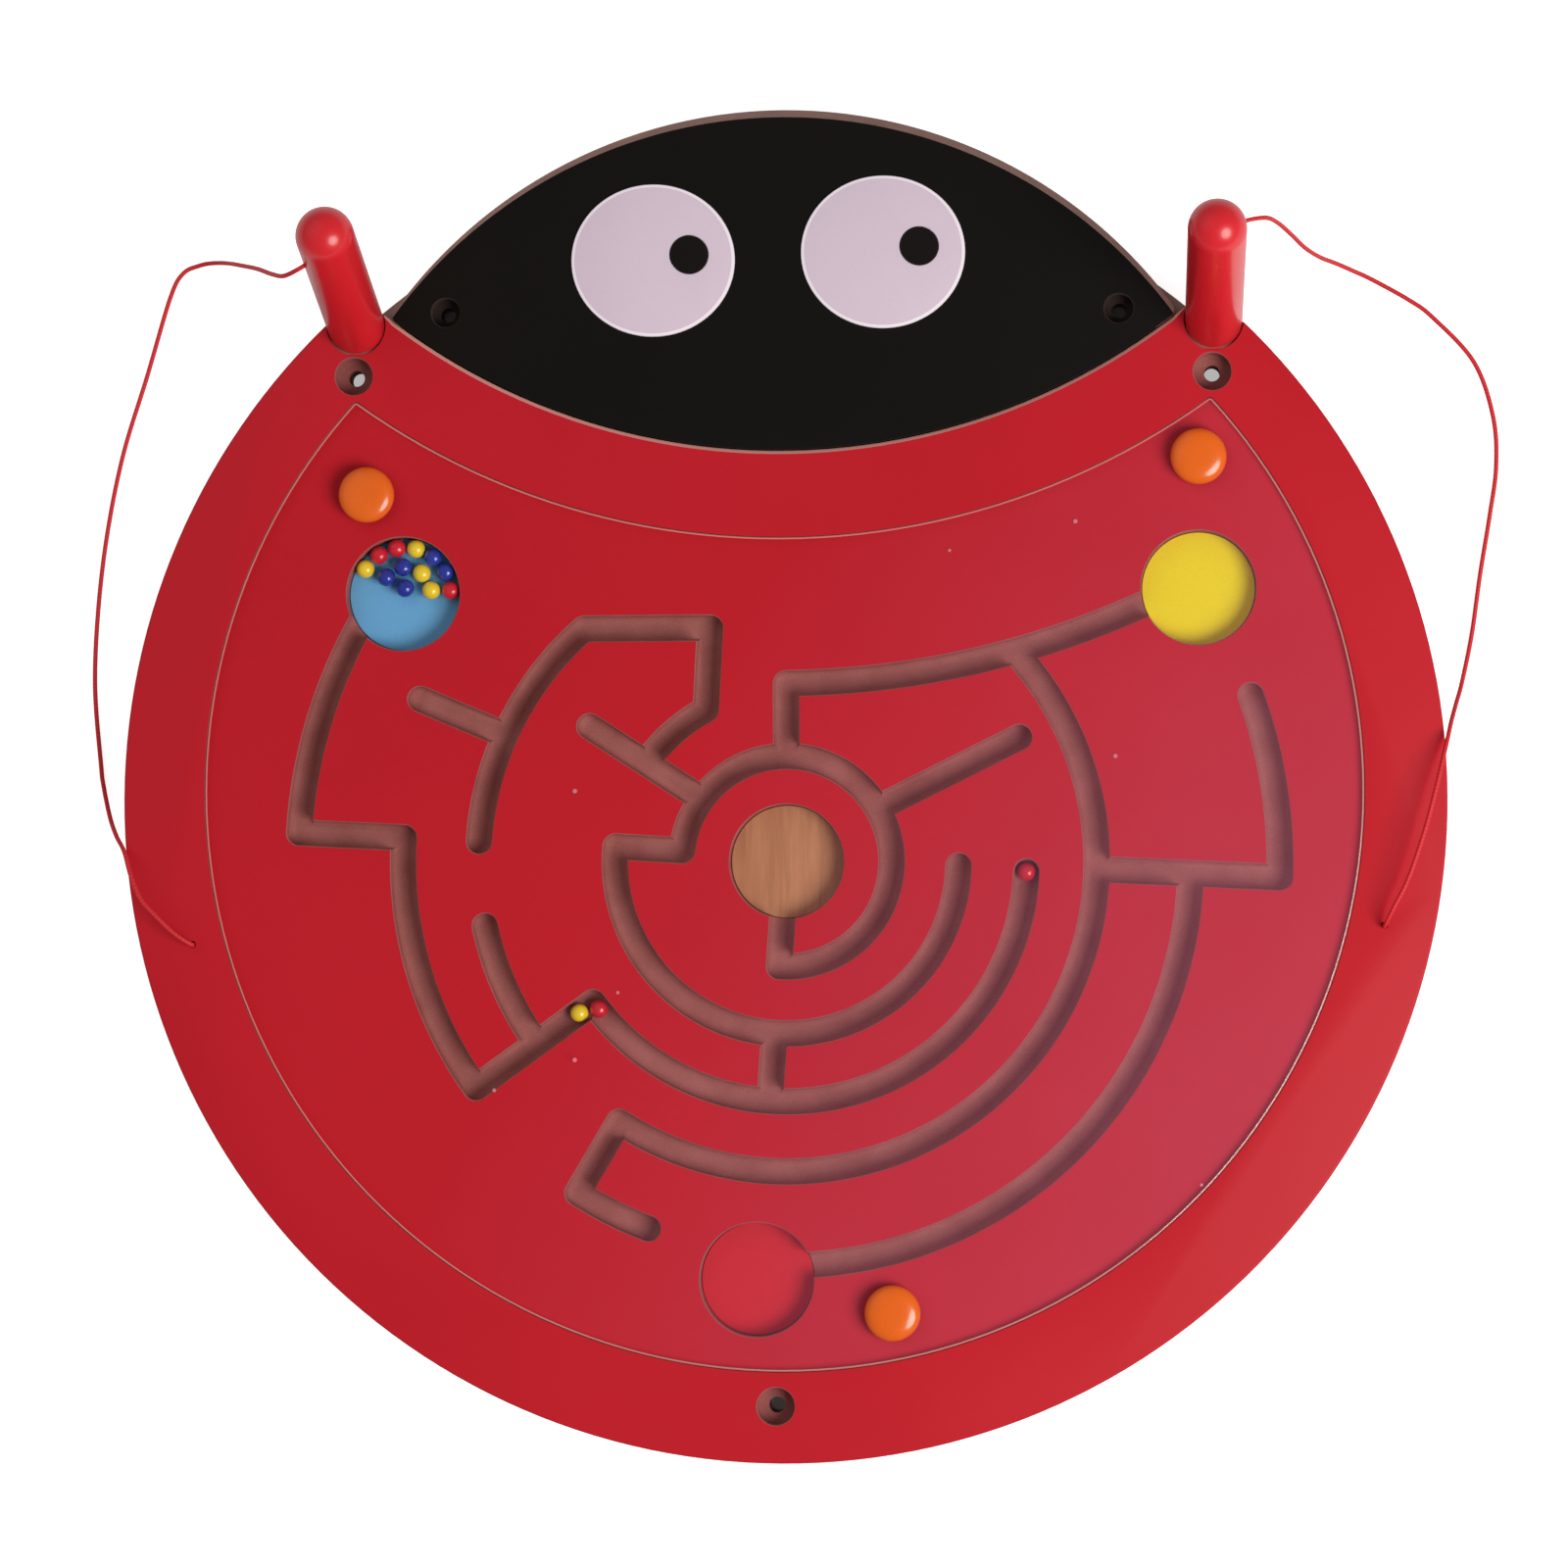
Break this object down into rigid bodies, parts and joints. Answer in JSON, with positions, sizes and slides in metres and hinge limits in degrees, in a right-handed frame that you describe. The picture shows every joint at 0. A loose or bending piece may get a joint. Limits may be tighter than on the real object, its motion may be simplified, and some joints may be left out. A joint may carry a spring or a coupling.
{
  "type": "activity wall panel",
  "caption": "Ladybird-shaped wall panel with a routed bead maze under a clear cover, and magnet wands on cords that stand in its horns",
  "frame": {"origin": "centre of the round body on the flat back face, where the panel meets the wall", "axes": "+X to the right as a child faces the panel, +Y up towards the head, +Z out of the wall towards the child"},
  "size_m": [0.6223, 0.5938, 0.1322],
  "materials": {
    "raw_board": "raw fibreboard, matt",
    "red_paint": "satin red lacquer on board",
    "black_paint": "satin black lacquer on board",
    "clear_acrylic": "clear polished sheet",
    "eye_white": "pale lilac laminate, satin",
    "orange_plastic": "glossy moulded orange",
    "blue_paint": "matt blue paint",
    "yellow_paint": "matt yellow paint",
    "natural_wood": "clear-coated veneer, vertical grain",
    "red_lacquer": "glossy red lacquer on a dowel",
    "yellow_bead": "glossy coated iron ball",
    "red_bead": "glossy coated iron ball",
    "blue_bead": "glossy coated iron ball",
    "magnet": "nickel-plated magnet",
    "steel": "zinc-plated screw",
    "cord": "thin braided red cord"
  },
  "bodies": {
    "panel": {"back_panel": "raw_board", "body_board": "red_paint", "head_board": "black_paint", "left_eye": "eye_white", "right_eye": "eye_white", "left_pupil": "black_paint", "right_pupil": "black_paint", "cover_sheet": "clear_acrylic", "blue_well_disc": "blue_paint", "yellow_well_disc": "yellow_paint", "wood_well_disc": "natural_wood", "red_well_disc": "red_paint", "left_cap": "orange_plastic", "left_cap_washer": "orange_plastic", "left_cover_screw": "steel", "right_cap": "orange_plastic", "right_cap_washer": "orange_plastic", "right_cover_screw": "steel", "lower_cap": "orange_plastic", "lower_cap_washer": "orange_plastic", "lower_cover_screw": "steel", "left_cord": "cord", "left_cord_knot": "cord", "right_cord": "cord", "right_cord_knot": "cord", "body_back_screw_1": "steel", "body_back_screw_2": "steel", "body_back_screw_3": "steel", "body_back_screw_4": "steel", "body_back_screw_5": "steel", "body_back_screw_6": "steel", "left_head_back_screw": "steel", "right_head_back_screw": "steel"},
    "left_wand_body": {"left_wand": "red_lacquer", "left_wand_magnet": "magnet"},
    "right_wand_body": {"right_wand": "red_lacquer", "right_wand_magnet": "magnet"},
    "red_bead_l_body": {"red_bead_l": "red_bead"},
    "blue_bead_k_body": {"blue_bead_k": "blue_bead"},
    "blue_bead_j_body": {"blue_bead_j": "blue_bead"},
    "yellow_bead_d_body": {"yellow_bead_d": "yellow_bead"},
    "red_bead_c_body": {"red_bead_c": "red_bead"},
    "red_bead_b_body": {"red_bead_b": "red_bead"},
    "yellow_bead_a_body": {"yellow_bead_a": "yellow_bead"},
    "yellow_bead_e_body": {"yellow_bead_e": "yellow_bead"},
    "yellow_bead_f_body": {"yellow_bead_f": "yellow_bead"},
    "blue_bead_g_body": {"blue_bead_g": "blue_bead"},
    "blue_bead_h_body": {"blue_bead_h": "blue_bead"},
    "blue_bead_i_body": {"blue_bead_i": "blue_bead"},
    "red_bead_m_body": {"red_bead_m": "red_bead"},
    "red_bead_n_body": {"red_bead_n": "red_bead"},
    "yellow_bead_o_body": {"yellow_bead_o": "yellow_bead"}
  },
  "joints": [
    {"name": "left_wand_lift", "type": "slide", "parent": "panel", "child": "left_wand_body", "axis": [0, 0.2756, 0.9613], "range_m": [0, 0.03]},
    {"name": "right_wand_lift", "type": "slide", "parent": "panel", "child": "right_wand_body", "axis": [0, 0.2756, 0.9613], "range_m": [0, 0.03]},
    {"name": "red_bead_l_roll", "type": "hinge", "parent": "panel", "child": "red_bead_l_body", "pos_m": [-0.16688, 0.0906, 0.0163], "axis": [0, 0, 1], "range_deg": [-100, 100]},
    {"name": "blue_bead_k_roll", "type": "hinge", "parent": "panel", "child": "blue_bead_k_body", "pos_m": [-0.16688, 0.0906, 0.0163], "axis": [0, 0, 1], "range_deg": [-100, 100]},
    {"name": "blue_bead_j_roll", "type": "hinge", "parent": "panel", "child": "blue_bead_j_body", "pos_m": [-0.16688, 0.0906, 0.0163], "axis": [0, 0, 1], "range_deg": [-100, 100]},
    {"name": "yellow_bead_d_roll", "type": "hinge", "parent": "panel", "child": "yellow_bead_d_body", "pos_m": [-0.16688, 0.0906, 0.0163], "axis": [0, 0, 1], "range_deg": [-100, 100]},
    {"name": "red_bead_c_roll", "type": "hinge", "parent": "panel", "child": "red_bead_c_body", "pos_m": [-0.16688, 0.0906, 0.0163], "axis": [0, 0, 1], "range_deg": [-100, 100]},
    {"name": "red_bead_b_roll", "type": "hinge", "parent": "panel", "child": "red_bead_b_body", "pos_m": [-0.16688, 0.0906, 0.0163], "axis": [0, 0, 1], "range_deg": [-100, 100]},
    {"name": "yellow_bead_a_roll", "type": "hinge", "parent": "panel", "child": "yellow_bead_a_body", "pos_m": [-0.16688, 0.0906, 0.0163], "axis": [0, 0, 1], "range_deg": [-100, 100]},
    {"name": "yellow_bead_e_roll", "type": "hinge", "parent": "panel", "child": "yellow_bead_e_body", "pos_m": [-0.16688, 0.0906, 0.0163], "axis": [0, 0, 1], "range_deg": [-100, 100]},
    {"name": "yellow_bead_f_roll", "type": "hinge", "parent": "panel", "child": "yellow_bead_f_body", "pos_m": [-0.16688, 0.0906, 0.0163], "axis": [0, 0, 1], "range_deg": [-100, 100]},
    {"name": "blue_bead_g_roll", "type": "hinge", "parent": "panel", "child": "blue_bead_g_body", "pos_m": [-0.16688, 0.0906, 0.0163], "axis": [0, 0, 1], "range_deg": [-100, 100]},
    {"name": "blue_bead_h_roll", "type": "hinge", "parent": "panel", "child": "blue_bead_h_body", "pos_m": [-0.16688, 0.0906, 0.0163], "axis": [0, 0, 1], "range_deg": [-100, 100]},
    {"name": "red_bead_m_roll", "type": "hinge", "parent": "panel", "child": "red_bead_m_body", "pos_m": [0.00221, -0.0273, 0.0163], "axis": [0, 0, 1], "range_deg": [-55, 0]},
    {"name": "red_bead_n_roll", "type": "hinge", "parent": "panel", "child": "red_bead_n_body", "pos_m": [0.00221, -0.0273, 0.0163], "axis": [0, 0, 1], "range_deg": [0, 70]},
    {"name": "blue_bead_i_roll", "type": "slide", "parent": "panel", "child": "blue_bead_i_body", "axis": [0, -1, 0], "range_m": [0, 0.0055]},
    {"name": "yellow_bead_o_roll", "type": "slide", "parent": "panel", "child": "yellow_bead_o_body", "axis": [-0.809, -0.5878, 0], "range_m": [0, 0.05]}
  ],
  "couplings": [
    {"joint": "blue_bead_k_roll", "follows": "red_bead_l_roll", "ratio": 1},
    {"joint": "blue_bead_j_roll", "follows": "red_bead_l_roll", "ratio": 1},
    {"joint": "yellow_bead_d_roll", "follows": "red_bead_l_roll", "ratio": 1},
    {"joint": "red_bead_c_roll", "follows": "red_bead_l_roll", "ratio": 1},
    {"joint": "red_bead_b_roll", "follows": "red_bead_l_roll", "ratio": 1},
    {"joint": "yellow_bead_a_roll", "follows": "red_bead_l_roll", "ratio": 1},
    {"joint": "yellow_bead_e_roll", "follows": "red_bead_l_roll", "ratio": 1},
    {"joint": "yellow_bead_f_roll", "follows": "red_bead_l_roll", "ratio": 1},
    {"joint": "blue_bead_g_roll", "follows": "red_bead_l_roll", "ratio": 1},
    {"joint": "blue_bead_h_roll", "follows": "red_bead_l_roll", "ratio": 1}
  ]
}
